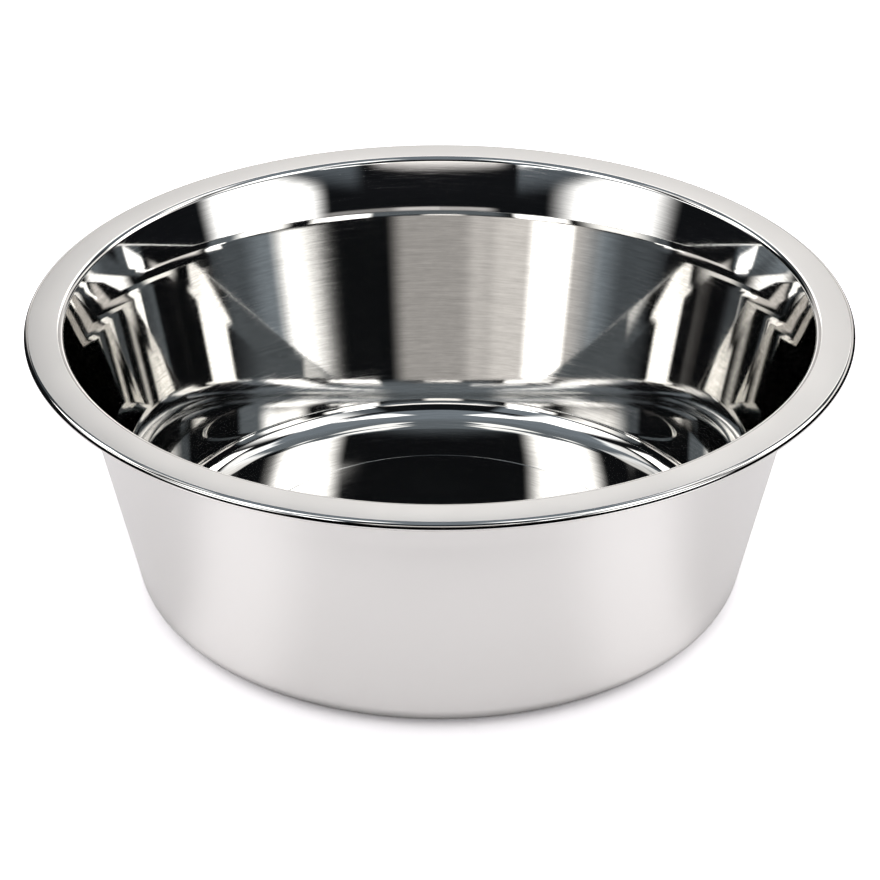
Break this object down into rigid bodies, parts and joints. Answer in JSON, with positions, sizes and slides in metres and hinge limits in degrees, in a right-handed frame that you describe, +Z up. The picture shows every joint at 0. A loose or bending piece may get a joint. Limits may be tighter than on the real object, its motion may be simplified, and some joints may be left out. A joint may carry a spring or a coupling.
{
  "type": "stainless dog bowl",
  "caption": "Round pet food bowl drawn from one steel sheet, with a flat rim, rolled edge, slightly flared mouth, sloping wall and a rubber ring under the foot.",
  "frame": {"origin": "middle of the rubber ring's underside, on the ground plane", "axes": "+Z up along the bowl's axis of revolution; X and Y are alike"},
  "size_m": [0.254, 0.254, 0.0904],
  "materials": {
    "polished_steel": "mirror polished inside with fine lines around the axis, bright satin outside",
    "black_rubber": "matte moulded rubber"
  },
  "bodies": {
    "root": {"bowl_shell": "polished_steel", "non_skid_ring": "black_rubber"}
  },
  "joints": []
}
